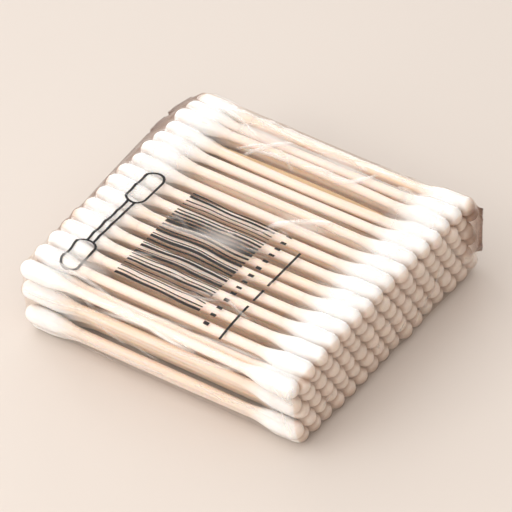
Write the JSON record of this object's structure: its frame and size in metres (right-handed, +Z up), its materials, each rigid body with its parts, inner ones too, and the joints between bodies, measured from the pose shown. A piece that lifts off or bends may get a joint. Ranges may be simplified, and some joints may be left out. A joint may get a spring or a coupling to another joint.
{
  "type": "pack of cotton swabs",
  "caption": "Sealed clear film bag holding layers of double-ended cotton swabs on wooden sticks, all lying the same way, with film pinched out at two corners.",
  "frame": {"origin": "middle of the face that the pack lies on", "axes": "+X along the swabs, +Y towards the sealed side of the bag, +Z up"},
  "size_m": [0.0786, 0.0758, 0.0233],
  "materials": {
    "film": "thin clear glossy film with creases",
    "wood": "bare pale birch dowel",
    "cotton": "bleached wound cotton"
  },
  "bodies": {
    "root": {"film_bag": "film", "sticks_layer_1": "wood", "sticks_layer_2": "wood", "sticks_layer_3": "wood", "sticks_layer_4": "wood", "sticks_layer_5": "wood", "sticks_layer_6": "wood", "left_buds_layer_1": "cotton", "left_buds_layer_2": "cotton", "left_buds_layer_3": "cotton", "left_buds_layer_4": "cotton", "left_buds_layer_5": "cotton", "left_buds_layer_6": "cotton", "right_buds_layer_1": "cotton", "right_buds_layer_2": "cotton", "right_buds_layer_3": "cotton", "right_buds_layer_4": "cotton", "right_buds_layer_5": "cotton", "right_buds_layer_6": "cotton"}
  },
  "joints": []
}
